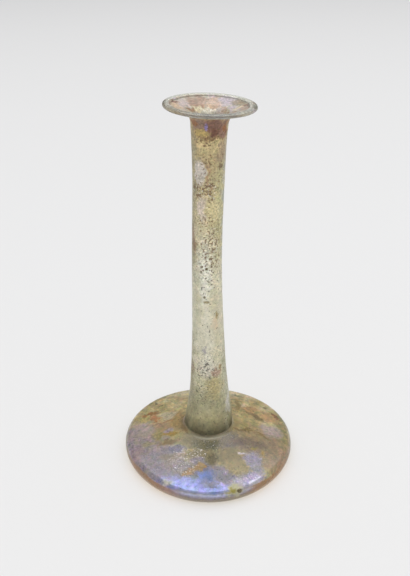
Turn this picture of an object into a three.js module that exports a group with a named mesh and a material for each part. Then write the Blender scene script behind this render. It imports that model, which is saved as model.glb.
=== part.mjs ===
// Roman candlestick unguentarium: one free-blown glass vessel with a folded rim, a long waisted neck and a
// low disc-shaped body. It is a single hollow piece, open at the mouth. Millimetres, +Z up, with the origin
// on the standing surface under the middle of the body.
import * as THREE from "three";
import { mergeVertices } from "three/addons/utils/BufferGeometryUtils.js";

const at = (radius, height) => new THREE.Vector2(radius, height);

// Driving sizes.
const HEIGHT = 180;
const BODY_RADIUS = 42.4;
const RIM_RADIUS = 19.6;
const SIDES = 56;

const body = {
  edgeRadius: 3.8, // how far the rounded edge reaches in from the widest line
  edgeHeight: 4.5, // height of the widest line
  shoulderTurn: THREE.MathUtils.degToRad(76), // where the round edge runs out into the sloping top
  wall: 2.0,
  edgeWall: 1.9,
  floorWall: 2.4,
  standingInner: 26, // the flat standing ring starts here and ends under the edge
  hollow: 2.0, // how far the middle of the underside is pushed up
};

// Outer radius of the neck and its height, from the foot over the waist to the throat.
const neckStations = [
  at(12.15, 17.6), at(11.5, 24), at(10.6, 30.6), at(9.7, 37), at(8.8, 48), at(7.9, 64),
  at(7.1, 89), at(6.8, 118), at(6.95, 143), at(7.25, 158), at(7.6, 166.5), at(7.9, 170.5),
];

const neck = {
  foot: neckStations[0],
  throat: neckStations[neckStations.length - 1],
  wall: 1.7,
  weld: 1.6, // the inside corner where the neck meets the body
};

const rim = {
  lip: 1.65, // thickness of the doubled edge
  fold: 3.2, // how far the folded edge reaches in
  foldStep: 0.8, // the folded layer stands this far above the funnel
  flange: 1.1, // thickness of the single layer
  funnelDrop: 1.9, // from the fold down to where the funnel turns into the neck
  funnelRadius: 8.4,
};

// Hand-made unevenness.
const uneven = {
  oval: 0.0103, // the body is a little longer along ovalTurn
  ovalTurn: THREE.MathUtils.degToRad(-28),
  threeLobes: 0.0103,
  lobeTurn: THREE.MathUtils.degToRad(86),
  rimSlopeX: -0.035, // the rim is lower on its +X side
  rimSlopeY: -0.018, // and on its +Y side
  rimShift: 0.4,
  bow: 0.75, // the waist of the neck leans this far towards -X
  bowFoot: 55,
  bowTop: 162,
  flare: 0.5, // the foot of the neck swells this far towards +X
  flareHeight: 32,
  flareReach: 18,
};

/** Points of a curve without its first one, which the stretch before it already gave. */
const along = (curve, steps) => curve.getPoints(steps).slice(1);

/** The underside, the round edge and the sloping top, up to the foot of the neck. */
function bodyOutside() {
  const middle = at(BODY_RADIUS - body.edgeRadius, body.edgeHeight);
  const edge = new THREE.EllipseCurve(
    middle.x, middle.y, body.edgeRadius, body.edgeHeight, -Math.PI / 2, body.shoulderTurn);
  const shoulder = edge.getPoint(1);
  const corner = at(neck.foot.x + 0.35, neck.foot.y - neck.weld);
  const turn = corner.clone().lerp(shoulder, 0.06);
  return [
    at(0, body.hollow),
    ...along(new THREE.CubicBezierCurve(
      at(0, body.hollow), at(9, body.hollow), at(18, 0.2), at(body.standingInner, 0)), 5),
    at(middle.x, 0),
    ...along(edge, 10),
    turn.clone().lerp(shoulder, 0.5),
    turn,
    ...along(new THREE.QuadraticBezierCurve(turn, corner, neck.foot), 3),
  ];
}

/** The neck's outer line, or a line parallel to it, from foot to throat. */
function neckLine(inset, steps) {
  return new THREE.SplineCurve(neckStations.map((station) => at(station.x - inset, station.y)))
    .getPoints(steps);
}

/** The underside of the flange, the round lip, the folded edge and the funnel, down to the throat. */
function rimLine() {
  const lip = at(RIM_RADIUS - rim.lip / 2, HEIGHT - rim.lip / 2);
  const foldEnd = at(RIM_RADIUS - rim.fold, HEIGHT - 0.15 - rim.foldStep);
  const mouth = at(rim.funnelRadius, foldEnd.y - rim.funnelDrop);
  const inside = at(neck.throat.x - neck.wall, neck.throat.y);
  return [
    ...along(new THREE.CubicBezierCurve(
      neck.throat, at(8.0, 175.3), at(9.4, mouth.y - rim.flange + 0.8), at(lip.x, HEIGHT - rim.lip)), 7),
    ...along(new THREE.EllipseCurve(
      lip.x, lip.y, rim.lip / 2, rim.lip / 2, -Math.PI / 2, Math.PI / 2), 6),
    ...along(new THREE.CubicBezierCurve(
      at(lip.x, HEIGHT), at(foldEnd.x, HEIGHT + 0.1), at(foldEnd.x - 0.3, HEIGHT - 0.2), foldEnd), 4),
    ...along(new THREE.CubicBezierCurve(
      foldEnd, mouth, at(inside.x + 0.35, mouth.y - 1.2), inside), 6),
  ];
}

/** The ceiling, the inner edge and the floor of the body, out from the foot of the neck to the axis. */
function bodyInside() {
  const middle = at(BODY_RADIUS - body.edgeRadius, body.edgeHeight);
  const edge = new THREE.EllipseCurve(
    middle.x, middle.y + 0.1, body.edgeRadius - body.edgeWall, body.edgeHeight - body.floorWall + 0.1,
    body.shoulderTurn, -Math.PI / 2, true);
  const start = at(neck.foot.x - neck.wall, neck.foot.y);
  const turn = at(neck.foot.x + 0.9, neck.foot.y - neck.weld - body.wall);
  return [
    ...along(new THREE.QuadraticBezierCurve(start, at(neck.foot.x - 1.2, turn.y + 0.6), turn), 3),
    edge.getPoint(0).lerp(turn, 0.5),
    ...edge.getPoints(6),
    at(body.standingInner, body.floorWall),
    ...along(new THREE.CubicBezierCurve(
      at(body.standingInner, body.floorWall), at(18, body.floorWall + 0.2),
      at(9, body.hollow + body.floorWall), at(0, body.hollow + body.floorWall)), 4),
  ];
}

/** The whole wall as one closed outline, from the axis under the body to the axis on its floor. */
function outline() {
  return [
    ...bodyOutside(),
    ...neckLine(0, 16).slice(1),
    ...rimLine(),
    ...neckLine(neck.wall, 11).reverse().slice(1),
    ...bodyInside(),
  ];
}

/** Sideways lean of the neck's middle line at a height. */
function lean(height) {
  const inBow = THREE.MathUtils.clamp((height - uneven.bowFoot) / (uneven.bowTop - uneven.bowFoot), 0, 1);
  const flare = Math.exp(-(((height - uneven.flareHeight) / uneven.flareReach) ** 2));
  const clearOfBody = THREE.MathUtils.smoothstep(height, 12, 24);
  const rimShift = uneven.rimShift * THREE.MathUtils.smoothstep(height, uneven.bowTop, HEIGHT);
  return uneven.flare * flare * clearOfBody - uneven.bow * Math.sin(Math.PI * inBow) ** 2 + rimShift;
}

/** Moves a point of the true round form to where the glassblower's hand left it. */
function handMade(point) {
  const turn = Math.atan2(point.y, point.x);
  const radius = Math.hypot(point.x, point.y);
  const inBody = THREE.MathUtils.smoothstep(radius, 14, 38) * (point.z < HEIGHT / 2 ? 1 : 0);
  const swell = uneven.oval * Math.cos(2 * turn - uneven.ovalTurn)
    + uneven.threeLobes * Math.cos(3 * turn - uneven.lobeTurn);
  const atRim = THREE.MathUtils.smoothstep(point.z, neck.throat.y - 12, neck.throat.y + 4);
  point.x += lean(point.z) + point.x * swell * inBody;
  point.y += point.y * swell * inBody;
  point.z += (uneven.rimSlopeX * point.x + uneven.rimSlopeY * point.y) * atRim;
}

/** The vessel as a lathed wall with its hand-made unevenness. */
function vesselGeometry() {
  const lathed = new THREE.LatheGeometry(outline(), SIDES);
  lathed.rotateX(Math.PI / 2);
  lathed.deleteAttribute("normal");
  lathed.deleteAttribute("uv");
  const wall = mergeVertices(lathed, 1e-3);
  const place = wall.getAttribute("position");
  const point = new THREE.Vector3();
  for (let i = 0; i < place.count; i++) {
    point.fromBufferAttribute(place, i);
    handMade(point);
    place.setXYZ(i, point.x, point.y, point.z);
  }
  wall.computeVertexNormals();
  return wall;
}

const weatheredGlass = new THREE.MeshStandardMaterial({
  color: 0xb9b592,
  roughness: 0.35,
  metalness: 0,
  transparent: true,
  opacity: 0.8,
});

const unguentarium = new THREE.Group();
const vessel = new THREE.Mesh(vesselGeometry(), weatheredGlass);
vessel.name = "glass_unguentarium";
unguentarium.add(vessel);

export default unguentarium;
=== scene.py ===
"""Looks of a Roman candlestick unguentarium: thin greenish glass under a weathered, iridescent skin."""
import logging
import math
from dataclasses import dataclass, field
from enum import Enum
from functools import reduce
from operator import or_
from typing import Any, Sequence

import bmesh
import bpy
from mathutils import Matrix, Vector, noise
from mathutils.geometry import interpolate_bezier


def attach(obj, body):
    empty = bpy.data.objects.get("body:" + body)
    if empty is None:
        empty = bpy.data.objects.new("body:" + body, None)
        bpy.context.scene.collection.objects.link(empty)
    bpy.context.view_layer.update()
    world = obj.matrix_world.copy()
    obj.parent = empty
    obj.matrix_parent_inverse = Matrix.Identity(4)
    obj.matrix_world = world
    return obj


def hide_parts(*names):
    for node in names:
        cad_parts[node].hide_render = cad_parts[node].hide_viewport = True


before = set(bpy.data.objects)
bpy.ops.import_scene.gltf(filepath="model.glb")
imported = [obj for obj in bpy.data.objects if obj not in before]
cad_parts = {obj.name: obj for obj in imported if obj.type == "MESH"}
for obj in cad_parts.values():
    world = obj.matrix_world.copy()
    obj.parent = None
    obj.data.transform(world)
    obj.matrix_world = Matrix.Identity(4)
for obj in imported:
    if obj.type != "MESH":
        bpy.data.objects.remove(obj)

LOG = logging.getLogger("unguentarium")
NODE = "glass_unguentarium"
PIECE = "vessel_glass"
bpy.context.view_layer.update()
MM = 0.001

Socket = bpy.types.NodeSocket
Colour = tuple[float, float, float]  # as seen on a screen, 0 to 255 a channel
Stops = Sequence[tuple[float, Colour]]
Point = tuple[float, float]
Span = tuple[float, float]  # where a mask starts and where it is full, in millimetres


def light(colour: Colour) -> tuple[float, ...]:
    """Turns a colour as seen on a screen into linear light with alpha, which is what sockets take.

    Args:
        colour: The colour, 0 to 255 a channel.

    Returns:
        The light.
    """
    shares = [channel / 255 for channel in colour]
    return *(s / 12.92 if s <= 0.04045 else ((s + 0.055) / 1.055) ** 2.4 for s in shares), 1.0


def share_of(value: float, low: float, high: float) -> float:
    """How far a value is on its way from low to high, from 0 to 1."""
    return min(max((value - low) / (high - low), 0.0), 1.0)


def smoothstep(value: float, low: float, high: float) -> float:
    """Rises smoothly from 0 at low to 1 at high."""
    share = share_of(value, low, high)
    return share * share * (3 - 2 * share)


class Zone(Enum):
    """Stretches of the wall, each with its own finish, as material slot numbers."""

    BODY = 0
    NECK = 1
    RIM = 2
    INSIDE = 3
    UNDERSIDE = 4


# --- shader tools


class Signal:
    """A shader socket with one number at each point, which takes part in Python arithmetic."""

    def __init__(self, bench: "Bench", socket: Socket) -> None:
        """Wraps a socket of the bench's node tree."""
        self.bench = bench
        self.socket = socket

    def _math(self, operation: str, *inputs: "Signal | float", clamp: bool = False) -> "Signal":
        """The result of a Math node, held between 0 and 1 if clamp is set."""
        node = self.bench.node("ShaderNodeMath", {"operation": operation, "use_clamp": clamp},
                               dict(enumerate(inputs)))
        return Signal(self.bench, node.outputs[0])

    def __add__(self, other: "Signal | float") -> "Signal":
        """Adds."""
        return self._math("ADD", self, other)

    __radd__ = __add__

    def __sub__(self, other: "Signal | float") -> "Signal":
        """Takes other away."""
        return self._math("SUBTRACT", self, other)

    def __rsub__(self, other: float) -> "Signal":
        """Takes this away from a number."""
        return self._math("SUBTRACT", other, self)

    def __mul__(self, other: "Signal | float") -> "Signal":
        """Multiplies."""
        return self._math("MULTIPLY", self, other)

    __rmul__ = __mul__

    def __or__(self, other: "Signal") -> "Signal":
        """The larger of two masks."""
        return self._math("MAXIMUM", self, other)

    def __abs__(self) -> "Signal":
        """The number without its sign."""
        return self._math("ABSOLUTE", self)

    def held(self) -> "Signal":
        """Keeps the number between 0 and 1."""
        return self._math("ADD", self, 0.0, clamp=True)

    def ramp(self, low: float, high: float) -> "Signal":
        """Rises smoothly from 0 where this is low to 1 where it is high; low may be the larger."""
        node = self.bench.node("ShaderNodeMapRange", {"interpolation_type": "SMOOTHSTEP"},
                               {0: self, 1: low, 2: high, 3: 0.0, 4: 1.0})
        return Signal(self.bench, node.outputs[0])


class Bench:
    """One material and the means to wire it up. Lengths are in millimetres."""

    def __init__(self, name: str) -> None:
        """Makes an empty material of that name."""
        self.material = bpy.data.materials.new(name)
        self.material.use_nodes = True
        self.tree = self.material.node_tree
        self.tree.nodes.clear()
        self.output = self.tree.nodes.new("ShaderNodeOutputMaterial")
        here = self.node("ShaderNodeTexCoord").outputs["Object"]
        self.place = self.node("ShaderNodeVectorMath", {"operation": "SCALE"},
                               {0: here, "Scale": 1 / MM}).outputs[0]
        parts = self.node("ShaderNodeSeparateXYZ", {}, {0: self.place})
        self.x, self.y, self.z = (Signal(self, parts.outputs[i]) for i in range(3))
        self.ragged = self.stir(2.0, 5.0)
        self.fine = self.grain(1.0, 3.0, 11.0, rough=0.65)

    def node(self, kind: str, settings: dict[str, Any] | None = None,
             sockets: dict[int | str, Any] | None = None) -> bpy.types.Node:
        """Adds a node.

        Args:
            kind: The node's type.
            settings: Its settings, set first; "stops" fills a colour ramp.
            sockets: Its inputs by number or name, each a value, a Signal or a socket. A number
                where a colour belongs is that much even light.

        Returns:
            The node.
        """
        made = self.tree.nodes.new(kind)
        for key, value in (settings or {}).items():
            if key == "stops":
                self._fill_ramp(made.color_ramp, value)
            else:
                setattr(made, key, value)
        for key, value in (sockets or {}).items():
            target = made.inputs[key]
            if isinstance(value, Signal):
                value = value.socket
            if isinstance(value, Socket):
                self.tree.links.new(value, target)
                continue
            if target.type == "RGBA":
                value = (value, value, value, 1.0) if isinstance(value, float) else light(value)
            target.default_value = value
        return made

    @staticmethod
    def _fill_ramp(ramp: bpy.types.ColorRamp, stops: Stops) -> None:
        """Sets a colour ramp's stops.

        Args:
            ramp: The ramp.
            stops: Place and colour of each stop, in rising order.
        """
        while len(ramp.elements) < len(stops):
            ramp.elements.new(1.0)
        for element, (place, colour) in zip(ramp.elements, stops):
            element.position = place
            element.color = light(colour)

    def vector(self, operation: str, *inputs: Any) -> Socket:
        """The result of a Vector Math node."""
        return self.node("ShaderNodeVectorMath", {"operation": operation},
                         dict(enumerate(inputs))).outputs[0]

    def length(self, arrow: Socket) -> Signal:
        """How long a vector is."""
        node = self.node("ShaderNodeVectorMath", {"operation": "LENGTH"}, {0: arrow})
        return Signal(self, node.outputs["Value"])

    def reach(self) -> Signal:
        """Distance from the middle line, in millimetres."""
        return self.length(self.node("ShaderNodeCombineXYZ", {}, {0: self.x, 1: self.y}).outputs[0])

    def noise(self, place: Socket, size: float, detail: float, rough: float) -> bpy.types.Node:
        """Adds a noise texture, with clouds of about a size and detail layers as strong as rough."""
        return self.node("ShaderNodeTexNoise", {}, {"Vector": place, "Scale": 1 / size, "Detail": detail,
                                                    "Roughness": rough})

    def grain(self, size: float, detail: float = 2.0, shift: float = 0.0, stretch: float = 1.0,
              rough: float = 0.5) -> Signal:
        """Cloudy noise from 0 to 1, mostly near 0.5.

        Args:
            size: Rough size of one cloud, in millimetres.
            detail: How many finer layers it has.
            shift: Moves the pattern, so that two with the same size differ.
            stretch: How much longer the clouds are along the height.
            rough: How strong the finer layers are.

        Returns:
            The noise.
        """
        moved = self.node("ShaderNodeMapping", {},
                          {"Vector": self.place, "Location": (shift, -shift, 1.7 * shift),
                           "Scale": (1.0, 1.0, 1 / stretch)}).outputs[0]
        return Signal(self, self.noise(moved, size, detail, rough).outputs[0])

    def stir(self, reach: float, size: float) -> Socket:
        """The place, pushed about by noise, which gives whatever is laid by it a ragged edge.

        Args:
            reach: How far it is pushed at most, in millimetres.
            size: Rough size of one push.

        Returns:
            The pushed place.
        """
        push = self.noise(self.place, size, 5.0, 0.62).outputs["Color"]
        scaled = self.vector("MULTIPLY_ADD", push, (4 * reach,) * 3, (-2 * reach,) * 3)
        return self.vector("ADD", self.place, scaled)

    def mottle(self, colour: Socket, size: float, hue: float, shade: float, shift: float) -> Socket:
        """Makes a colour wander, in hue and in depth.

        Args:
            colour: The colour.
            size: Rough size of one blot, in millimetres.
            hue: How far each channel wanders on its own.
            shade: How far all of them wander together.
            shift: Moves the pattern.

        Returns:
            The mottled colour.
        """
        moved = self.vector("ADD", self.place, (shift, 2 * shift, -shift))
        blots = self.noise(moved, size, 3.0, 0.6)
        wander = self.joined("MULTIPLY", blots.outputs["Color"], 2.0 * hue)
        tints = self.joined("ADD", wander, 1.0 - hue)
        depth = Signal(self, blots.outputs[0]) * (2 * shade) + (1 - shade)
        return self.dimmed(self.joined("MULTIPLY", colour, tints), depth)

    def joined(self, how: str, first: Any, second: Any) -> Socket:
        """Adds or multiplies two colours, channel by channel."""
        return self.node("ShaderNodeMix", {"data_type": "RGBA", "blend_type": how},
                         {0: 1.0, 6: first, 7: second}).outputs[2]

    def dimmed(self, colour: Socket, share: Signal) -> Socket:
        """A colour made darker or lighter by a number."""
        grey = self.node("ShaderNodeCombineColor", {}, {0: share, 1: share, 2: share}).outputs[0]
        return self.joined("MULTIPLY", colour, grey)

    def blend(self, low: Any, high: Any, share: Any) -> Socket:
        """Mixes two colours: low where share is 0, high where it is 1."""
        return self.node("ShaderNodeMix", {"data_type": "RGBA"}, {0: share, 6: low, 7: high}).outputs[2]

    def ramp_of(self, signal: Signal, stops: Stops) -> Socket:
        """Looks a number up in a colour ramp."""
        return self.node("ShaderNodeValToRGB", {"stops": stops}, {0: signal}).outputs[0]

    def lay(self, base: Socket, patches: Sequence["Patch"]) -> Socket:
        """Lays patches over a colour, lowest first."""
        return reduce(lambda under, patch: self.blend(under, patch.colour, patch.mask(self)), patches, base)

    def crowd(self, patches: Sequence["Patch"]) -> Signal:
        """The areas of several patches as one mask."""
        return reduce(or_, [patch.mask(self) for patch in patches])

    def bumps(self, height: Signal, depth: float, strength: float) -> Socket:
        """A normal from a height, where 1 stands for a depth in millimetres."""
        return self.node("ShaderNodeBump", {},
                         {"Strength": strength, "Distance": depth * MM, "Height": height}).outputs[0]

    def surface(self, sockets: dict[str, Any]) -> Socket:
        """A Principled shader with the inputs named."""
        return self.node("ShaderNodeBsdfPrincipled", {}, sockets).outputs[0]

    def mix(self, first: Socket, second: Socket, share: Any) -> Socket:
        """Mixes two shaders by a mask."""
        return self.node("ShaderNodeMixShader", {}, {0: share, 1: first, 2: second}).outputs[0]

    def finish(self, surface: Socket) -> bpy.types.Material:
        """Puts a shader on the output and hands the material over."""
        self.tree.links.new(surface, self.output.inputs["Surface"])
        return self.material


# --- finishes


@dataclass(frozen=True)
class Patch:
    """One area of weathering, or of painted light and shade: an ellipsoid round a point of the wall, with a
    ragged edge. Millimetres.
    """

    centre: tuple[float, float, float]
    radii: tuple[float, float, float]
    colour: Colour = (0, 0, 0)
    turn: float = 0
    soft: float = 0.3
    broken: float = 0.2
    strength: float = 1

    def mask(self, bench: Bench) -> Signal:
        """How much of the patch lies at each point.

        Args:
            bench: The material it is wired into.

        Returns:
            A mask.
        """
        smallest_ragged, full, gone = 2.0, 0.85, 1.05
        spot = bench.ragged if max(self.radii) > smallest_ragged else bench.place
        if self.turn:
            spot = bench.node("ShaderNodeVectorRotate", {"rotation_type": "Z_AXIS"},
                              {"Vector": spot, "Center": self.centre,
                               "Angle": math.radians(-self.turn)}).outputs[0]
        away = bench.length(bench.vector("MULTIPLY_ADD", spot, tuple(1 / r for r in self.radii),
                                         tuple(-c / r for c, r in zip(self.centre, self.radii))))
        if self.broken:
            away = away + (bench.fine - 0.5) * (4 * self.broken)
        mask = away.ramp(gone + self.soft, full - self.soft)
        return mask if self.strength == 1.0 else mask * self.strength


@dataclass(frozen=True)
class Glass:
    """Plain blown glass: see-through, faintly tinted and a little dull."""

    tint: Colour
    roughness: float
    shade: Colour = (253.9, 251.0, 247.0)
    ior: float = 1.5

    def under(self, bench: Bench, skin: dict[str, Any], cover: Signal, normal: Socket
              ) -> bpy.types.Material:
        """Covers the glass with a skin, lets the lamps shine through the whole and ends the material.

        Args:
            bench: The material it is wired into.
            skin: The weathered skin's inputs.
            cover: How much of the glass the skin hides.
            normal: A bumped normal for both.

        Returns:
            The material.
        """
        clear = bench.surface({"Base Color": self.tint, "Roughness": self.roughness, "IOR": self.ior,
                               "Transmission Weight": 1.0, "Normal": normal})
        wall = bench.mix(clear, bench.surface({**skin, "Normal": normal}), cover.held())
        passing = bench.node("ShaderNodeBsdfTransparent", {}, {"Color": self.shade}).outputs[0]
        lamp_ray = bench.node("ShaderNodeLightPath").outputs["Is Shadow Ray"]
        return bench.finish(bench.mix(wall, passing, lamp_ray))


@dataclass(frozen=True)
class BodyFinish:
    """The sloping top and edge of the body: olive glass under lavender, blue and rust-coloured film, with
    painted highlights, glints and shade.

    Patches are listed lowest first, and a span of x, y, z or reach says where a mask starts and is full.
    """

    glass: Glass = Glass(tint=(232, 226, 196), roughness=0.16)
    tan: Colour = (172, 158, 116)
    straw: Colour = (190, 181, 148)
    olive: Colour = (146, 134, 94)
    khaki: Colour = (148, 138, 102)
    grey: Colour = (150, 139, 146)
    # blue film, painted bright: it colours the highlight band on the front shoulder
    blue: Colour = (158, 170, 232)
    lilac: Colour = (172, 158, 156)
    rust: Colour = (136, 96, 56)
    orange: Colour = (146, 112, 72)
    flake: Colour = (158, 122, 98)
    # painted shade: the dark green that the thick glass under the neck shows through the top
    dark_green_shade: Colour = (54, 64, 52)
    amber: Colour = (154, 112, 72)
    rim_olive: Colour = (116, 100, 62)
    soot: Colour = (64, 54, 34)
    # pale flecks of lifted film, painted as bright as glints, and a painted glint
    glint_fleck: Colour = (226, 222, 232)
    # also the painted highlight on the weld at the neck's foot
    pale: Colour = (186, 186, 170)
    # painted shade round the foot of the neck
    foot_shade: Colour = (88, 80, 62)
    # a painted dark line of shade along the far outline
    outline: Colour = (104, 100, 80)
    # painted highlight and shade lines along the front of the round edge, over the film's colours, by height
    highlight_and_shade_bands: Stops = (
        (0.1, (84, 70, 44)), (0.32, (110, 90, 58)), (0.43, (124, 112, 98)),
        (0.52, (156, 150, 168)), (0.6, (192, 198, 236)), (0.66, (168, 172, 190)),
        (0.71, (126, 132, 152)), (0.78, (196, 208, 248)))
    broad: tuple[Patch, ...] = (  # the large fields of colour
        Patch((30, -14, 10), (15, 15, 9), (146, 126, 108), 0, 0.35, 0.15),
        Patch((-34, -6, 10), (12, 13, 9), grey, 15, 0.3, 0.1),
        Patch((-26, -24, 10), (18, 14, 9), (142, 134, 152), -35, 0.3, 0.1),
        Patch((-8, -32, 9), (17, 7, 9), (132, 130, 152), -8, 0.35),
        # blue film on the front shoulder, painted bright as a highlight band
        Patch((-6, -38.5, 9), (23, 6, 9), blue, -6),
        Patch((8, -32, 10), (8, 5, 7), (122, 122, 146), broken=0.3),
        Patch((20, -34, 9), (8, 4, 6), (156, 152, 188), 32, 0.35, 0.35),
        Patch((38, 4, 9), (3, 15, 6), khaki, 0, 0.4),
        Patch((0, 34, 8), (30, 7, 6), straw, 0, 0.4, 0.1),
    )
    blots: tuple[Patch, ...] = (  # the single patches of film and crust, with some painted highlights, a painted glint and painted shade near the neck's foot
        Patch((-5, -14, 17), (10, 6, 5), (92, 88, 72), 0, 0.4, 0.1, 0.9),
        Patch((-24, 0, 13), (7, 6, 5), (150, 124, 104), 20, 0.3, 0.3),
        Patch((-15, 4, 14), (4, 8, 6), (150, 126, 84)),
        Patch((-25, -5.5, 12.5), (4, 4.5, 5), olive),
        Patch((-33, 9.5, 10.5), (4, 3, 5), (168, 156, 108), broken=0.1),
        Patch((-21, 9, 13), (5, 4.4, 5), (172, 162, 138), 10, 0.15, 0.1),
        Patch((-21.5, 4.7, 13), (5.5, 0.8, 5), rust, 5, 0.4, 0.3, 0.7),
        Patch((-30.5, 13.7, 10.5), (5, 1.3, 5), rust, 4, 0.25, 0.1),
        Patch((-28, 9, 12), (2.6, 4, 5), (158, 112, 78), broken=0.3),
        Patch((-12, -1.5, 18), (2.6, 8, 9), (108, 76, 44), 5, 0.3, 0.15),
        Patch((-35.6, -16.2, 9), (3, 6.5, 5), (156, 132, 146), -14, 0.35, 0.2, 0.8),
        Patch((-31.1, -1.4, 11), (5.5, 4, 5), (166, 154, 152), 0, 0.3, 0.1, 0.8),
        Patch((-29.5, -11.1, 11), (3.4, 1.6, 4), (150, 142, 118), 0, 0.35, 0.3, 0.8),
        Patch((-19.5, -35.4, 8.4), (2.8, 2, 3), (186, 184, 190), -20, 0.4, 0.3),
        Patch((3, -38, 9), (4, 1.6, 3), (142, 142, 178), 0, 0.4, 0.35, 0.7),
        # painted highlight: a pale streak along the front edge
        Patch((22.6, -34.4, 7.8), (4.6, 1.4, 2), (220, 218, 244), 33, 0.35),
        Patch((13.6, -34.3, 9.5), (2, 1.8, 3), (170, 172, 196), 0, 0.35, 0.35, 0.7),
        Patch((-20, -4, 14), (2.3, 1.9, 4), (162, 148, 162), broken=0.1),
        Patch((-18.5, -6.2, 14), (4.5, 1.2, 4), (140, 114, 52), 0, 0.35, 0.3),
        Patch((-21, -8.7, 13), (2.6, 1.2, 4), (158, 148, 140), broken=0.1),
        Patch((-19.5, -12, 13), (6, 1.8, 4), (120, 96, 68), 0, 0.35, 0.3),
        Patch((-16, -17, 13), (6, 2.2, 4), (122, 120, 146), -8),
        Patch((-19, -21.5, 11.5), (5, 2, 4), (118, 108, 98), 0, 0.4, 0.2, 0.7),
        Patch((21, -6.5, 13.5), (9, 3.5, 5), (144, 128, 102)),
        Patch((10, -12.5, 15), (7, 6.5, 5), (82, 81, 102), broken=0.1),
        Patch((20, -13, 13), (9.5, 4.4, 5), (94, 78, 78), 0, 0.25, 0.15),
        Patch((32.5, 0, 11), (6.4, 4.6, 5), lilac, -12, 0.2, 0.1),
        Patch((16, 18.5, 12.5), (2, 7, 5), (120, 104, 60), 0, 0.4),
        Patch((22, 15, 12), (4, 4, 4), (166, 132, 96), 0, 0.4, 0.3),
        Patch((32, 11, 10.5), (5, 4.5, 5), (174, 146, 110), 0, 0.35),
        Patch((25, 9.5, 12.3), (5.5, 2.2, 5), (106, 88, 60), -40, 0.35, 0.3),
        Patch((17.5, -3.8, 14.5), (6.5, 1.0, 4), (110, 88, 56), 8, 0.4),
        Patch((19.2, -3.6, 14), (1.6, 1.5, 4), (98, 78, 42), broken=0.1),
        Patch((27, -5.2, 12), (4.5, 0.9, 4), (120, 96, 62), -22, 0.4),
        Patch((23.2, -15.6, 12), (2.2, 1.2, 3), (138, 122, 58), 0, 0.35, 0.3),
        Patch((27.3, -17.8, 10.7), (1.4, 1, 3), (154, 130, 70), 0, 0.35, 0.3),
        Patch((10.5, -21.5, 13), (7.6, 5, 5), (116, 106, 82), 0, 0.2, 0.15),
        Patch((14, -27.5, 11), (5.6, 4.6, 5), (150, 138, 108), 0, 0.2, 0.25),
        Patch((22, -22.5, 11), (4.6, 5.2, 5), (142, 140, 172), 25, 0.15, 0.15),
        Patch((24, -28, 10), (3.6, 3, 4), (150, 150, 166), 0, 0.25, 0.3),
        # a painted glint
        Patch((17, -19, 12.6), (1.8, 0.6, 3), glint_fleck, broken=0.1),
        Patch((-5, -24.8, 12.6), (4, 3.4, 4), (118, 114, 142), 0, 0.25),
        Patch((-2.5, -31.4, 11), (4.6, 4.8, 5), (112, 146, 226), broken=0.15),
        Patch((-6.6, -33.6, 10), (2.6, 1.4, 4), (100, 120, 148), broken=0.1),
        Patch((-7.2, -30, 11.3), (8, 3.4, 5), (98, 94, 112), 14, 0.2, 0.25, 0.8),
        Patch((-5.2, -28.8, 11.5), (4.2, 2.2, 5), orange, 12, 0.1, 0.08),
        Patch((-10, -30.9, 10.8), (3.8, 1.7, 4), flake, 14, 0.1, 0.1),
        # painted shade: the dark green that the thick glass under the neck shows through the top
        Patch((-0.5, -16, 15), (7.5, 4.4, 5), dark_green_shade, 0, 0.25, 0.15),
        Patch((-5.3, -21, 13.5), (5, 2.4, 5), (100, 94, 72)),
        # painted shadow in front of the neck's foot
        Patch((1.5, -24, 13), (3.6, 4.2, 5), (54, 50, 36), 0, 0.4),
        Patch((-28.3, 23.8, 9.7), (1, 1.7, 3), soot, strength=0.8),
        Patch((16.3, 30.8, 10), (2.4, 1.4, 3), soot, 0, 0.4, 0.4, 0.7),
        Patch((35.4, 13.4, 9.4), (1, 2.8, 3), (120, 72, 52), 20, 0.4, 0.3, 0.9),
        Patch((31, 21, 9.5), (1.2, 1.6, 3), (120, 96, 66), 0, 0.4, 0.3, 0.8),
    )
    growth: tuple[Patch, ...] = (  # the moss-green crust on the edge, with its dark hole
        Patch((12.6, -39.4, 7.2), (4.2, 2.8, 3.2), (186, 184, 152), 10, 0.3, 0.3),
        Patch((11, -40, 6.8), (2.4, 1.4, 1.6), (150, 144, 72), 10, 0.3, 0.3),
        Patch((14.8, -39.3, 6.8), (1.5, 1.1, 1.1), soot, 0, 0.2, 0.1),
    )
    freckled: tuple[Patch, ...] = (  # where pale flecks of lifted film, painted as bright as glints, lie thick
        Patch((-12, -25, 12), (8, 9, 6), soft=0.4, broken=0.3),
        Patch((-5, -21, 13), (5, 4, 5), soft=0.4, broken=0.3),
        Patch((0, -16.5, 15), (8, 4, 5), soft=0.5, broken=0.3, strength=0.7),
        Patch((17, -33, 9), (8, 4, 5), soft=0.4, broken=0.3, strength=0.8),
        Patch((26, -21, 10), (6, 6, 5), soft=0.5, broken=0.3, strength=0.6),
    )
    olive_y: Span = (-20, -6)  # the edge is amber in front and olive behind this
    band_left_x: Span = (-20, -10)
    band_right_x: Span = (24, 16)
    band_y: Span = (-20, -32)
    edge_z: Span = (7.3, 6.1)
    # where the painted shade round the foot of the neck lies
    foot_shade_reach: Span = (19, 12)
    # where the painted highlight on the weld lies
    weld_glint_in: Span = (12.1, 12.7)
    weld_glint_out: Span = (13.4, 12.9)
    weld_glint_y: Span = (-7, -11)
    # where the painted shade over the front lies
    front_shade_y: Span = (10, -14)
    front_shade_reach: Span = (42, 36)
    # where the painted dark line of shade along the far outline lies
    far_shade_reach: Span = (41.2, 42.2)
    far_shade_y: Span = (-12, 4)
    shiny_y: Span = (-26, -34)
    richness: float = 1.09
    gloss: float = 0.3
    gloss_rough: float = 0.12
    metal: float = 0.55

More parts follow.
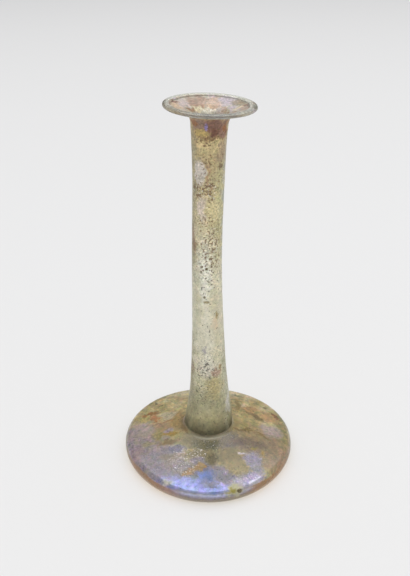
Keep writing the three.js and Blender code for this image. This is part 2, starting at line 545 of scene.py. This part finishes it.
    def edged(self, bench: Bench, colour: Socket, edge: Signal, front: Signal) -> Socket:
        """Colours the round edge: painted highlight and shade lines over the film in front, amber and olive
        round the sides.

        Args:
            bench: The material.
            colour: The colour of the top.
            edge: Where the edge is.
            front: Where its front is.

        Returns:
            The colour with the edge.
        """
        side = bench.blend(self.amber, self.rim_olive, bench.y.ramp(*self.olive_y))
        # painted highlight and shade lines in front, by height
        highlight_and_shade_bands = bench.ramp_of((bench.z + (bench.fine - 0.5) * 0.8) * 0.1, self.highlight_and_shade_bands)
        return bench.blend(colour, bench.blend(side, highlight_and_shade_bands, front), edge * 0.85)

    def shaded(self, bench: Bench, colour: Socket, away: Signal) -> Socket:
        """Paints shade round the foot of the neck and over the front, a highlight on the weld in front of
        the foot, and a dark line of shade along the far outline.

        Args:
            bench: The material.
            colour: The colour.
            away: Distance from the middle line.

        Returns:
            The shaded colour.
        """
        # painted shade round the foot of the neck
        colour = bench.blend(colour, self.foot_shade, away.ramp(*self.foot_shade_reach) * 0.45)
        # painted highlight on the weld, in front of the neck's foot
        weld = away.ramp(*self.weld_glint_in) * away.ramp(*self.weld_glint_out) * bench.y.ramp(*self.weld_glint_y)
        colour = bench.blend(colour, self.pale, weld * 0.5)
        # painted shade: the front is darker
        near = bench.y.ramp(*self.front_shade_y) * away.ramp(*self.front_shade_reach)
        colour = bench.dimmed(colour, 0.97 - near * 0.24)
        colour = bench.node("ShaderNodeHueSaturation", {},
                            {"Saturation": self.richness, "Color": colour}).outputs[0]
        # painted dark line of shade along the far outline
        outline = away.ramp(*self.far_shade_reach) * bench.y.ramp(*self.far_shade_y)
        return bench.blend(colour, self.outline, outline * 0.6)

    def build(self) -> bpy.types.Material:
        """Wires the finish up.

        Returns:
            The material.
        """
        bench = Bench("weathered_body")
        clouds = bench.grain(9.0, 4.0)
        colour = bench.ramp_of(clouds, [(0.36, self.olive), (0.5, self.tan), (0.64, self.straw)])
        colour = bench.mottle(bench.lay(colour, self.broad), 3.6, 0.26, 0.4, 7.0)
        colour = bench.mottle(bench.lay(colour, self.blots), 2.2, 0.26, 0.6, 21.0)
        away = bench.reach()
        front = (bench.x.ramp(*self.band_left_x) * bench.x.ramp(*self.band_right_x)
                 * bench.y.ramp(*self.band_y))
        front = (front + (clouds - 0.5) * front * 1.5).held()
        edge = (bench.z - front * 0.7 + (clouds - 0.5) * 3).ramp(*self.edge_z)
        colour = bench.lay(self.edged(bench, colour, edge, front), self.growth)
        busy = bench.grain(5.0, 2.0, 51.0).ramp(0.42, 0.58)
        colour = bench.blend(colour, bench.mottle(colour, 1.1, 0.14, 0.9, 3.0), busy * 0.6 + 0.4)
        colour = self.shaded(bench, colour, away)
        dark = (bench.fine + (clouds - 0.5) * 0.3).ramp(0.36, 0.27)
        colour = bench.blend(colour, self.soot, dark * 0.55)
        # pale flecks of lifted film, painted as bright as glints
        sparks = bench.grain(0.7, 2.0, 31.0, rough=0.7)
        flecks = (sparks + bench.crowd(self.freckled) * 0.135).ramp(0.71, 0.77)
        colour = bench.blend(colour, self.glint_fleck, flecks)
        channels = bench.node("ShaderNodeSeparateColor", {}, {0: colour})
        red, blue = (Signal(bench, channels.outputs[i]) for i in (0, 2))
        film = (blue - red).ramp(-0.06, 0.16) * (1 - edge)
        shiny = bench.y.ramp(*self.shiny_y)
        rough = 0.2 + bench.fine * 0.2 + flecks * 0.2 - film * 0.04 - shiny * 0.08
        relief = (bench.fine * 0.6 + flecks * 0.3) * (1 - shiny * 0.6) + clouds * 0.4
        bump = bench.bumps(relief, 0.16, 0.3)
        skin = {"Base Color": colour, "Roughness": rough, "Metallic": film * self.metal,
                "Coat Weight": self.gloss, "Coat Roughness": self.gloss_rough}
        cover = 0.76 + (clouds - 0.5) * 0.5 + dark * 0.2
        return self.glass.under(bench, skin, cover, bump)


@dataclass(frozen=True)
class NeckFinish:
    """The neck: frosted pale glass with brown specks, and mauve and ochre film under the rim, with painted
    shade at its foot and down both sides and a painted light line low on its right side.

    Patches are listed lowest first, and a span of z or reach says where a mask starts and is full.
    """

    glass: Glass = Glass(tint=(246, 244, 226), roughness=0.25)
    pale: Colour = (206, 200, 174)
    cream: Colour = (202, 197, 174)
    white: Colour = (230, 230, 218)
    sage: Colour = (166, 164, 132)
    olive: Colour = (142, 136, 102)
    # painted shade at the neck's foot, where it meets the body
    foot_shade_olive: Colour = (34, 32, 20)
    buff: Colour = (188, 174, 134)
    umber: Colour = (150, 128, 92)
    straw: Colour = (184, 168, 124)
    ochre: Colour = (160, 140, 88)
    plum: Colour = (112, 82, 68)
    brown: Colour = (120, 92, 60)
    pit: Colour = (62, 54, 40)
    clear: Colour = (206, 206, 190)
    broad: tuple[Patch, ...] = (  # the large fields of colour
        # painted shade down the left and right sides of the neck
        Patch((-8.4, -1, 90), (2.7, 9, 84), (142, 136, 102), broken=0.1),
        Patch((8.6, -1, 90), (2.4, 9, 84), (166, 164, 138), broken=0.1),
        Patch((-2.2, -6.5, 100), (3.3, 5, 18), white, 0, 0.4, 0.3),
        Patch((5, -4, 88), (3, 6, 26), cream, 0, 0.4),
        Patch((-6, -3, 85), (3, 6, 24), (188, 186, 164), 0, 0.4),
        Patch((5, -3, 136), (3, 6, 26), (176, 170, 128), 0, 0.4),
        Patch((7, -1.5, 130), (1.4, 4.5, 34), (160, 162, 152), 0, 0.4),
        Patch((-6.5, -2, 152), (1.8, 6, 20), (150, 142, 110), 0, 0.4),
        Patch((0, -6, 162), (6, 6, 5), straw, broken=0.3),
        Patch((3, -8.5, 45), (4.5, 4, 7), (178, 164, 118), 0, 0.4, 0.3),
        Patch((-1, -8.5, 56), (6, 5, 6.5), (210, 203, 188), 0, 0.35, 0.3),
    )
    blots: tuple[Patch, ...] = (  # the single patches of film and crust, and a painted light line
        Patch((5.4, -5.2, 161), (2.2, 4, 4.4), (150, 130, 106), 0, 0.4, 0.4, 0.8),
        Patch((-3.9, -6.3, 152.5), (3.1, 4, 6.2), (196, 188, 180), 0, 0.15, 0.1),
        Patch((-3, -6.5, 137), (2.4, 4, 5.2), (204, 190, 178), broken=0.3),
        Patch((2, -6.5, 134), (2.8, 4, 7), (204, 192, 148), broken=0.3),
        Patch((0, -7, 151), (0.6, 3, 8), (150, 116, 92), -8, 0.4, 0.45, 0.8),
        Patch((-6.8, -3.2, 120.5), (1.7, 3, 6.5), (128, 100, 76), 0, 0.35, 0.3, 0.9),
        Patch((-6.3, -3.4, 117.3), (1.4, 3, 2.8), (116, 88, 50), 0, 0.35, 0.3, 0.6),
        Patch((4.3, -5.7, 82.9), (1.0, 3, 2.2), (128, 108, 58)),
        Patch((5.2, -5.4, 155), (1.1, 2, 1.1), (104, 86, 54)),
        Patch((-1, -6.9, 107.4), (0.7, 2, 0.7), pit, 0, 0.2, 0.1),
        Patch((-3.4, -6.3, 105.8), (0.6, 2, 0.8), pit, 0, 0.2, 0.1),
        Patch((-1.9, -6.9, 93.1), (0.6, 2, 0.7), pit, 0, 0.2, 0.1),
        Patch((-1, -7.1, 90.6), (1.5, 2, 0.7), (128, 116, 86), broken=0.3),
        Patch((2.6, -7, 79.5), (2, 3, 3.5), (208, 186, 158), 0, 0.4),
        Patch((-1.5, -7.4, 70), (4.4, 5, 16), (214, 212, 198), 0, 0.4, 0.2, 0.85),
        Patch((-2, -7.8, 64.6), (1.6, 3, 1.9), (150, 148, 160), 0, 0.4, 0.4),
        Patch((3.7, -7.6, 52.5), (2.2, 3, 2.3), (166, 138, 122), 0, 0.2, 0.25),
        Patch((5.5, -6.5, 54.6), (1.3, 3, 1.2), (142, 116, 74), broken=0.3),
        Patch((-8, -2.7, 52.4), (1, 3, 3), (134, 112, 92), 0, 0.4, 0.3),
        # painted highlight: a light line down the right side of the neck
        Patch((9.6, -4.4, 38), (0.8, 3, 11), (206, 202, 200), 0, 0.4, 0.4, 0.7),
        Patch((-3, -7, 173), (5.4, 5, 3), (126, 104, 88)),
        Patch((3, -7, 172.6), (4.6, 6, 4.4), plum, 0, 0.2, 0.1),
        Patch((2.4, -7.6, 169.6), (2.2, 3, 1.9), (100, 66, 50), broken=0.15),
        Patch((-3.3, -7, 169.6), (3.2, 4, 2.3), ochre, 0, 0.25),
        Patch((-1.2, -7.9, 172.2), (0.7, 2, 1.6), (116, 104, 146), 0, 0.4, 0.1),
        Patch((-6.6, -5, 174), (1.7, 3, 1.2), (130, 90, 56)),
        Patch((7, -4.6, 171), (1.0, 4, 3.6), (124, 80, 42)),
        Patch((5.3, -5.6, 168.3), (1.9, 3, 2.2), (126, 96, 80), 0, 0.25),
        Patch((1, -7.5, 167), (5, 3, 0.7), (124, 98, 66), 0, 0.5, 0.4, 0.8),
    )
    speckled: tuple[Patch, ...] = (  # where brown specks lie thick
        Patch((0, -7, 166), (7, 5, 2), strength=0.5),
        Patch((2, -7, 157), (6, 5, 6), soft=0.4, broken=0.3, strength=0.3),
        Patch((-3.5, -5.5, 145.5), (4.5, 4, 3.4)),
        Patch((0.8, -7, 144), (2.4, 4, 5)),
        Patch((-1.5, -6.6, 131), (3, 4, 3.4), soft=0.4, broken=0.3, strength=0.8),
        Patch((0.5, -6.6, 116), (4.6, 5, 12), soft=0.4, broken=0.3, strength=0.85),
        Patch((-1.5, -6.6, 101), (3, 4, 10), soft=0.5, broken=0.3, strength=0.5),
        Patch((-2, -7.5, 54), (5.5, 4, 6), soft=0.4, strength=0.75),
        Patch((-3, -7.5, 38), (5.5, 4, 10), soft=0.5, broken=0.3, strength=0.35),
    )
    calm_from_z: Span = (60, 72)  # the crust is even between these and at the foot
    calm_to_z: Span = (104, 92)
    calm_foot_z: Span = (40, 30)
    crusted_z: Span = (78, 135)
    brown_z: Span = (96, 114)
    spark_from_z: Span = (34, 44)
    spark_to_z: Span = (158, 148)
    top_z: Span = (160, 168)
    foot_z: Span = (34, 20)
    flare_reach: Span = (9.6, 12.5)
    flare_z: Span = (168, 172)
    height: float = 180.0
    lift: float = 1.42

    def build(self) -> bpy.types.Material:
        """Wires the finish up.

        Returns:
            The material.
        """
        bench = Bench("weathered_neck")
        clouds = bench.grain(5.0, 3.0, 2.0, stretch=1.8)
        # darkest at the foot: painted shade where the neck meets the body
        colour = bench.ramp_of(bench.z * (1 / self.height) + (clouds - 0.5) * 0.06, [
            (0.09, self.foot_shade_olive), (0.148, self.olive), (0.2, self.sage), (0.32, self.pale),
            (0.6, self.pale), (0.8, self.buff), (0.93, self.umber)])
        colour = bench.mottle(bench.lay(colour, self.broad), 2.6, 0.12, 0.4, 5.0)
        colour = bench.lay(colour, self.blots)
        calm = (bench.z.ramp(*self.calm_from_z) * bench.z.ramp(*self.calm_to_z)
                | bench.z.ramp(*self.calm_foot_z))
        colour = bench.blend(bench.mottle(colour, 0.9, 0.06, 1.0, 9.0), colour, calm * 0.55)
        colour = bench.joined("MULTIPLY", colour, self.lift)
        upper = bench.z.ramp(*self.crusted_z)
        thick = bench.crowd(self.speckled)
        pits = bench.grain(0.95, 1.5, 37.0, rough=0.6)
        dots = (pits + thick * 0.135 + upper * 0.022).ramp(0.64, 0.695)
        stain = bench.blend(self.pit, self.brown, bench.z.ramp(*self.brown_z))
        colour = bench.blend(colour, stain, dots * 0.9)
        sparks = bench.grain(0.9, 2.0, 23.0, rough=0.7)
        mid = bench.z.ramp(*self.spark_from_z) * bench.z.ramp(*self.spark_to_z)
        bright = (sparks + thick * 0.07).ramp(0.635, 0.715) * mid
        colour = bench.blend(colour, self.white, bright * 0.8)
        bump = bench.bumps(bench.fine * 0.5 - dots * 0.6 + pits * 0.3, 0.3, 0.5)
        top, foot = bench.z.ramp(*self.top_z), bench.z.ramp(*self.foot_z)
        flare = bench.reach().ramp(*self.flare_reach) * bench.z.ramp(*self.flare_z)
        colour = bench.blend(colour, self.clear, flare)
        skin = {"Base Color": colour, "Roughness": 0.34 + bench.fine * 0.3}
        cover = (0.6 + (clouds - 0.5) * 0.5 + dots * 0.5 + bright * 0.3 + top * 0.35 + foot * 0.35
                 + upper * 0.12 - flare * 0.9)
        return self.glass.under(bench, skin, cover, bump)


@dataclass(frozen=True)
class RimFinish:
    """The folded rim and funnel: clear grey-green at the lip, with pink, peach and lavender film inside, and
    a painted bluish reflection with a dark streak on the front of the lip.
    """

    glass: Glass = Glass(tint=(234, 238, 226), roughness=0.06)
    pink: Colour = (158, 121, 103)
    peach: Colour = (214, 184, 152)
    lavender: Colour = (194, 180, 193)
    cream: Colour = (238, 228, 192)
    grey: Colour = (198, 194, 172)
    brown: Colour = (150, 128, 94)
    wine: Colour = (122, 72, 54)
    clear: Colour = (222, 225, 220)
    blots: tuple[Patch, ...] = (  # the patches of film in the funnel, lowest first
        Patch((-13, 1, 179), (4, 5, 3), peach, 10),
        Patch((-10.5, 6.5, 178.4), (3, 6, 3), (196, 178, 176)),
        Patch((-4.5, 11, 178), (5.4, 5, 3), pink, -8, 0.2),
        Patch((2.4, 11.8, 177.6), (4, 4.6, 3), (200, 168, 150), broken=0.3),
        Patch((9, 12, 178), (4.4, 4.6, 3), lavender, 0, 0.25),
        Patch((13.4, 8, 178.2), (4.4, 3.6, 3), (142, 118, 80), -15, 0.35, 0.3, 0.7),
        Patch((13.4, 3.2, 178), (5.4, 1.5, 3), (232, 210, 178), 22, 0.3, 0.15),
        Patch((15.5, -1.5, 178.4), (3, 5, 3), (174, 150, 134), 0, 0.35),
        Patch((-3.5, 6.8, 175.2), (5, 2, 2.4), cream, 0, 0.25),
        Patch((1.6, 8.6, 176.3), (2.6, 1.8, 1.6), (196, 166, 140), broken=0.4),
        Patch((-18.8, -1, 180), (2.0, 8, 4), (88, 82, 62), broken=0.1),
        Patch((19.2, -1, 179), (2.0, 7, 4), (84, 84, 66), broken=0.1),
        Patch((-0.4, 7.3, 174.7), (3.6, 1.5, 1.8), (246, 246, 230), broken=0.3),
        Patch((4.6, 6.8, 175.2), (2.4, 2, 1.8), (206, 196, 192), 0, 0.4, 0.3),
        Patch((-14.8, 5.3, 179.4), (2.3, 1.2, 2), wine, 50, 0.2),
        Patch((16.2, 3.6, 179), (3.0, 1.3, 2), wine, -20, 0.2),
    )
    lip_stains_and_reflections: tuple[Patch, ...] = (  # tints along the folded lip, with a painted bluish reflection and a dark streak of reflection in front, lowest first
        Patch((-14.5, -11, 180), (6, 6, 3), (160, 146, 126), 0, 0.5, 0.3, 0.8),
        Patch((-9, 15, 180.4), (9, 4, 2), (214, 208, 190), 0, 0.5, 0.3, 0.6),
        # a painted bluish reflection and a dark streak of reflection on the front of the lip
        Patch((5, -17.8, 180.2), (9, 2.4, 2), (158, 178, 196), 0, 0.4, 0.35, 0.8),
        Patch((7, -17.6, 180.4), (2.2, 1.2, 1), (86, 104, 112), 0, 0.4, 0.4, 0.7),
    )
    lip_reach: Span = (16.2, 17.2)
    tip_x: Span = (16.5, 18.5)
    throat_reach: Span = (11, 7.5)

    def build(self) -> bpy.types.Material:
        """Wires the finish up.

        Returns:
            The material.
        """
        bench = Bench("weathered_rim")
        clouds = bench.grain(4.0, 3.0, 6.0)
        colour = bench.ramp_of(clouds, [(0.38, self.pink), (0.5, self.grey), (0.62, self.lavender)])
        colour = bench.mottle(bench.lay(colour, self.blots), 1.1, 0.15, 1.1, 2.0)
        away = bench.reach()
        lip = away.ramp(*self.lip_reach)
        tips = abs(bench.x).ramp(*self.tip_x)
        colour = bench.blend(colour, self.clear, lip * (1 - tips) * 0.7)
        colour = bench.lay(colour, self.lip_stains_and_reflections)
        specks = (bench.fine + away.ramp(*self.throat_reach) * 0.03 - lip * 0.2).ramp(0.62, 0.68)
        colour = bench.blend(colour, self.brown, specks * 0.8)
        bump = bench.bumps(bench.fine * 0.5 + clouds * 0.5, 0.12, 0.25)
        skin = {"Base Color": colour, "Roughness": 0.3 + bench.fine * 0.2}
        cover = 0.74 - lip * 0.5 + tips * 0.25 + (clouds - 0.5) * (1 - lip) * 0.4
        return self.glass.under(bench, skin, cover, bump)


@dataclass(frozen=True)
class PlainFinish:
    """Glass that weathered evenly: the inside of the vessel and its underside."""

    name: str
    glass: Glass
    skin: Colour
    cover: float
    stain: Colour = (124, 100, 70)

    def build(self) -> bpy.types.Material:
        """Wires the finish up.

        Returns:
            The material.
        """
        bench = Bench(self.name)
        clouds = bench.grain(6.0, 4.0, 29.0)
        colour = bench.blend(self.skin, self.stain, clouds.ramp(0.52, 0.7) * 0.5)
        bump = bench.bumps(bench.fine, 0.15, 0.25)
        skin = {"Base Color": colour, "Roughness": 0.4 + bench.fine * 0.2}
        return self.glass.under(bench, skin, self.cover * (clouds + 0.5), bump)


@dataclass(frozen=True)
class FloorFinish:
    """The pale matt ground it stands on."""

    paleness: float = 0.8
    shade: float = 0.99
    roughness: float = 0.9
    sheen: float = 0.1

    def build(self) -> bpy.types.Material:
        """Wires the finish up.

        Returns:
            The material.
        """
        bench = Bench("pale_floor")
        colour = bench.blend(self.paleness, self.paleness * self.shade, bench.fine)
        return bench.finish(bench.surface({"Base Color": colour, "Roughness": self.roughness,
                                           "Specular IOR Level": self.sheen}))


# --- vessel


def bezier(points: Sequence[Point], steps: int) -> list[Point]:
    """Points of a cubic curve from a start, two handles and an end, without its first one."""
    start, first, second, end = (Vector((x, y, 0.0)) for x, y in points)
    return [(p.x, p.y) for p in interpolate_bezier(start, first, second, end, steps + 1)[1:]]


def bend(start: Point, corner: Point, end: Point, steps: int) -> list[Point]:
    """Points of a curve that rounds a corner, without its first one."""
    handles = [tuple(p / 3 + c * 2 / 3 for p, c in zip(point, corner)) for point in (start, end)]
    return bezier([start, *handles, end], steps)


def arc(middle: Point, reach: Point, start: float, end: float, steps: int) -> list[Point]:
    """Points of an elliptic arc with both its ends, by its two radii and its angles in radians."""
    turns = (start + (end - start) * i / steps for i in range(steps + 1))
    return [(middle[0] + reach[0] * math.cos(t), middle[1] + reach[1] * math.sin(t)) for t in turns]


def line(start: Point, end: Point, steps: int) -> list[Point]:
    """Points of a straight stretch without its first one."""
    return [tuple(s + (e - s) * i / steps for s, e in zip(start, end)) for i in range(1, steps + 1)]


def through(stations: Sequence[Point], steps: int) -> list[Point]:
    """Points of a smooth curve through stations.

    Args:
        stations: The points it passes.
        steps: Stretches between two stations.

    Returns:
        The points, both ends included.
    """

    def between(a: float, b: float, c: float, d: float, t: float) -> float:
        """One coordinate of the curve, from b to c."""
        rise, next_rise = (c - a) / 2, (d - b) / 2
        return ((2 * b - 2 * c + rise + next_rise) * t ** 3
                + (-3 * b + 3 * c - 2 * rise - next_rise) * t ** 2 + rise * t + b)

    ends = [stations[0], *stations, stations[-1]]
    points = [stations[0]]
    for i in range(len(stations) - 1):
        points += [tuple(between(*(p[axis] for p in ends[i:i + 4]), step / steps) for axis in (0, 1))
                   for step in range(1, steps + 1)]
    return points


def meshed(name: str, mesh: bmesh.types.BMesh) -> bpy.types.Mesh:
    """Turns a bmesh into a mesh.

    Args:
        name: The mesh's name.
        mesh: The bmesh, which is freed.

    Returns:
        The mesh.
    """
    data = bpy.data.meshes.new(name)
    mesh.to_mesh(data)
    mesh.free()
    return data


def set_up(name: str, data: bpy.types.ID) -> bpy.types.Object:
    """Puts a mesh, a lamp or a camera into the scene.

    Args:
        name: The object's name.
        data: What it shows.

    Returns:
        The object.
    """
    made = bpy.data.objects.new(name, data)
    bpy.context.scene.collection.objects.link(made)
    return made


@dataclass
class Vessel:
    """The blown glass vessel: one hollow wall, open at the mouth. Sizes in millimetres."""

    height: float = 180.0
    body_radius: float = 42.4
    edge: Point = (3.8, 4.5)
    shoulder_turn: float = math.radians(76)
    body_wall: float = 2.0
    edge_wall: float = 1.9
    floor_wall: float = 2.4
    standing_inner: float = 26.0
    hollow: float = 2.0
    neck: tuple[Point, ...] = (
        (12.15, 17.6), (11.5, 24), (10.6, 30.6), (9.7, 37), (8.8, 48), (7.9, 64),
        (7.1, 89), (6.8, 118), (6.95, 143), (7.25, 158), (7.6, 166.5), (7.9, 170.5))
    neck_wall: float = 1.7
    weld: float = 1.6
    rim_radius: float = 19.6
    lip: float = 1.65
    fold: float = 3.2
    fold_step: float = 0.8
    flange: float = 1.1
    funnel_drop: float = 1.9
    funnel_radius: float = 8.4
    oval: float = 0.0103
    oval_turn: float = math.radians(-28)
    lobes: float = 0.0103
    lobe_turn: float = math.radians(86)
    uneven_reach: Span = (14, 38)
    rim_slope: Point = (-0.035, -0.018)
    slope_below: Span = (12, 4)  # the slope starts below the throat and is full above it
    rim_shift: float = 0.4
    bow: float = 0.75
    bow_span: Span = (55, 162)
    flare: float = 0.5
    flare_height: float = 32
    flare_reach: float = 18
    flare_foot: Span = (12, 24)
    sides: int = 168
    pit_depth: float = 0.14
    dent_share: float = 0.75
    tuck: Point = (0.9984, 0.9999)  # drawn in by this sideways and in height, to stay inside the solid's box
    finishes: dict[Zone, Any] = field(default_factory=lambda: {
        Zone.BODY: BodyFinish(),
        Zone.NECK: NeckFinish(),
        Zone.RIM: RimFinish(),
        Zone.INSIDE: PlainFinish("inside", Glass(tint=(238, 235, 212), roughness=0.2),
                                 (190, 184, 150), 0.16),
        Zone.UNDERSIDE: PlainFinish("underside", Glass(tint=(232, 226, 196), roughness=0.2),
                                    (168, 152, 116), 0.35),
    })

    def stretches(self) -> list[tuple[Zone, list[Point]]]:
        """The wall's outline from the axis under the body round to the axis on its floor.

        Returns:
            Each stretch as its zone and its points.
        """
        foot, throat = self.neck[0], self.neck[-1]
        ring_start = (self.standing_inner, 0)
        middle = (self.body_radius - self.edge[0], self.edge[1])
        edge = arc(middle, self.edge, -math.pi / 2, self.shoulder_turn, 44)
        shoulder = edge[-1]
        corner = (foot[0] + 0.35, foot[1] - self.weld)
        turn = tuple(c + (s - c) * 0.06 for c, s in zip(corner, shoulder))
        lip = (self.rim_radius - self.lip / 2, self.height - self.lip / 2)
        fold_end = (self.rim_radius - self.fold, self.height - 0.15 - self.fold_step)
        mouth = (self.funnel_radius, fold_end[1] - self.funnel_drop)
        throat_inside = (throat[0] - self.neck_wall, throat[1])
        inner_neck = through([(r - self.neck_wall, z) for r, z in self.neck], 6)
        ceiling = (foot[0] + 0.9, foot[1] - self.weld - self.body_wall)
        inner_edge = arc((middle[0], middle[1] + 0.1),
                         (self.edge[0] - self.edge_wall, self.edge[1] - self.floor_wall + 0.1),
                         self.shoulder_turn, -math.pi / 2, 12)
        floor = (self.standing_inner, self.floor_wall)
        floor_middle = self.hollow + self.floor_wall
        return [
            (Zone.UNDERSIDE, [(0.0, self.hollow)]
                + bezier([(0, self.hollow), (9, self.hollow), (18, 0.2), ring_start], 22)
                + line(ring_start, (middle[0], 0), 10)),
            (Zone.BODY, edge[1:] + line(shoulder, turn, 40) + bend(turn, corner, foot, 12)),
            (Zone.NECK, through(self.neck, 14)[1:]
                + bezier([throat, (8.0, 175.3), (9.4, mouth[1] - self.flange + 0.8),
                          (lip[0], self.height - self.lip)], 22)),
            (Zone.RIM, arc(lip, (self.lip / 2, self.lip / 2), -math.pi / 2, math.pi / 2, 14)[1:]
                + bezier([(lip[0], self.height), (fold_end[0], self.height + 0.1),
                          (fold_end[0] - 0.3, self.height - 0.2), fold_end], 12)
                + bezier([fold_end, mouth, (throat_inside[0] + 0.35, mouth[1] - 1.2), throat_inside], 24)),
            (Zone.INSIDE, inner_neck[::-1][1:]
                + bend(inner_neck[0], (foot[0] - 1.2, ceiling[1] + 0.6), ceiling, 8)
                + line(ceiling, inner_edge[0], 10) + inner_edge[1:] + line(inner_edge[-1], floor, 4)
                + bezier([floor, (18, floor[1] + 0.2), (9, floor_middle), (0, floor_middle)], 10)),
        ]

    def lean(self, height: float) -> float:
        """How far the neck's middle line stands to the side.

        Args:
            height: Height above the ground.

        Returns:
            The lean towards +X.
        """
        bow = math.sin(math.pi * share_of(height, *self.bow_span)) ** 2
        flare = math.exp(-(((height - self.flare_height) / self.flare_reach) ** 2))
        return (self.flare * flare * smoothstep(height, *self.flare_foot) - self.bow * bow
                + self.rim_shift * smoothstep(height, self.bow_span[1], self.height))

    def hand_made(self, point: Vector) -> Vector:
        """Moves a point of the true round form to where the glassblower's hand left it.

        Args:
            point: A point of the round form.

        Returns:
            Its place on the vessel.
        """
        turn = math.atan2(point.y, point.x)
        reach = math.hypot(point.x, point.y)
        in_body = smoothstep(reach, *self.uneven_reach) * (point.z < self.height / 2)
        swell = (self.oval * math.cos(2 * turn - self.oval_turn)
                 + self.lobes * math.cos(3 * turn - self.lobe_turn)) * in_body
        throat = self.neck[-1][1]
        at_rim = smoothstep(point.z, throat - self.slope_below[0], throat + self.slope_below[1])
        x = point.x * (1 + swell) + self.lean(point.z)
        y = point.y * (1 + swell)
        rise = point.z + (self.rim_slope[0] * x + self.rim_slope[1] * y) * at_rim
        return Vector((x * self.tuck[0], y * self.tuck[0], rise * self.tuck[1]))

    def pit(self, place: Vector, zone: Zone) -> float:
        """How deep weathering has eaten into the outside at a place.

        Args:
            place: A point of the outside.
            zone: The stretch it lies on.

        Returns:
            The depth, in millimetres.
        """
        if zone not in (Zone.BODY, Zone.NECK):
            return 0.0
        dents = smoothstep(noise.noise(place * 0.9), 0.1, 0.6)
        wear = smoothstep(noise.noise(place * 0.17 + Vector((3.0, 9.0, 1.0))), -0.25, 0.35)
        return self.pit_depth * wear * (self.dent_share * dents + 1 - self.dent_share)

    def build(self) -> bpy.types.Object:
        """Spins the outline into the vessel, pits its outside, bends it and dresses it.

        Returns:
            The finished piece.
        """
        mesh = bmesh.new()
        mark = mesh.verts.layers.float.new("stretch")
        ring: list[bmesh.types.BMVert] = []
        starts: list[tuple[float, Zone]] = []
        for zone, points in self.stretches():
            starts.append((len(ring) - 0.6, zone))
            for radius, height in points:
                vert = mesh.verts.new((radius, 0.0, height))
                vert[mark] = len(ring)
                ring.append(vert)
        wire = [mesh.edges.new(pair) for pair in zip(ring, ring[1:])]
        bmesh.ops.spin(mesh, geom=ring + wire, cent=(0, 0, 0), axis=(0, 0, 1), angle=math.tau,
                       steps=self.sides, use_merge=True)
        bmesh.ops.remove_doubles(mesh, verts=mesh.verts, dist=1e-4)
        bmesh.ops.recalc_face_normals(mesh, faces=mesh.faces)

        def zone_of(station: float) -> Zone:
            """The zone that a place along the outline lies in."""
            return [zone for start, zone in starts if station >= start][-1]

        for face in mesh.faces:
            face.material_index = zone_of(max(v[mark] for v in face.verts)).value
            face.smooth = True
        mesh.normal_update()
        depths = [self.pit(v.co, zone_of(v[mark])) for v in mesh.verts]
        for vert, depth in zip(mesh.verts, depths):
            vert.co = self.hand_made(vert.co - vert.normal * depth) * MM
        piece = set_up(PIECE, meshed(PIECE, mesh))
        for zone in Zone:
            piece.data.materials.append(self.finishes[zone].build())
        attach(piece, "root")
        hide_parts(NODE)
        return piece


# --- studio


@dataclass
class Studio:
    """The pale ground, the soft light and the camera. Sizes in metres."""

    floor_reach: float = 6.0
    floor_sides: int = 96
    eye: tuple[float, float, float] = (-0.00163, -0.30553, 0.25976)
    pitch: float = 0.49638
    lens: float = 47.0
    sensor: float = 36.0
    nearest: float = 0.01
    lamp_place: tuple[float, float, float] = (0.38, -0.45, 2.8)
    lamp_side: float = 5.2
    lamp_power: float = 125.0
    room_light: tuple[float, ...] = (0.33, 0.33, 0.335, 1.0)

    def floor(self) -> None:
        """Lays the ground."""
        mesh = bmesh.new()
        bmesh.ops.create_circle(mesh, cap_ends=True, radius=self.floor_reach, segments=self.floor_sides)
        ground = set_up("ground", meshed("ground", mesh))
        ground.data.materials.append(FloorFinish().build())

    def ceiling(self) -> None:
        """Hangs the broad soft lamp, which shines straight down."""
        lamp = bpy.data.lights.new("ceiling", "AREA")
        lamp.shape = "RECTANGLE"
        lamp.size = lamp.size_y = self.lamp_side
        lamp.energy = self.lamp_power
        set_up("ceiling", lamp).location = self.lamp_place

    def sky(self) -> None:
        """Fills the room with even pale light."""
        world = bpy.data.worlds.new("room")
        world.use_nodes = True
        backdrop = world.node_tree.nodes["Background"]
        backdrop.inputs["Color"].default_value = self.room_light
        backdrop.inputs["Strength"].default_value = 1.0
        bpy.context.scene.world = world

    def camera(self) -> None:
        """Sets up the camera."""
        optics = bpy.data.cameras.new("camera")
        optics.lens = self.lens
        optics.sensor_width = self.sensor
        optics.clip_start = self.nearest
        stand = set_up("camera", optics)
        stand.location = self.eye
        stand.rotation_euler = (math.pi / 2 - self.pitch, 0.0, 0.0)
        bpy.context.scene.camera = stand

    def build(self) -> None:
        """Sets the whole studio up."""
        self.camera()
        self.floor()
        self.sky()
        self.ceiling()
        view = bpy.context.scene.view_settings
        view.view_transform = "Standard"
        view.look = "None"


def report(piece: bpy.types.Object) -> None:
    """Logs a piece's name and size."""
    size = ", ".join(f"{side / MM:.1f}" for side in piece.dimensions)
    LOG.info("%s: %s mm, %d faces", piece.name, size, len(piece.data.polygons))


def main() -> None:
    """Builds the vessel and the studio."""
    logging.basicConfig(level=logging.INFO, format="%(name)s: %(message)s")
    Studio().build()
    bpy.context.view_layer.update()
    report(Vessel().build())


if __name__ == "__main__":
    main()
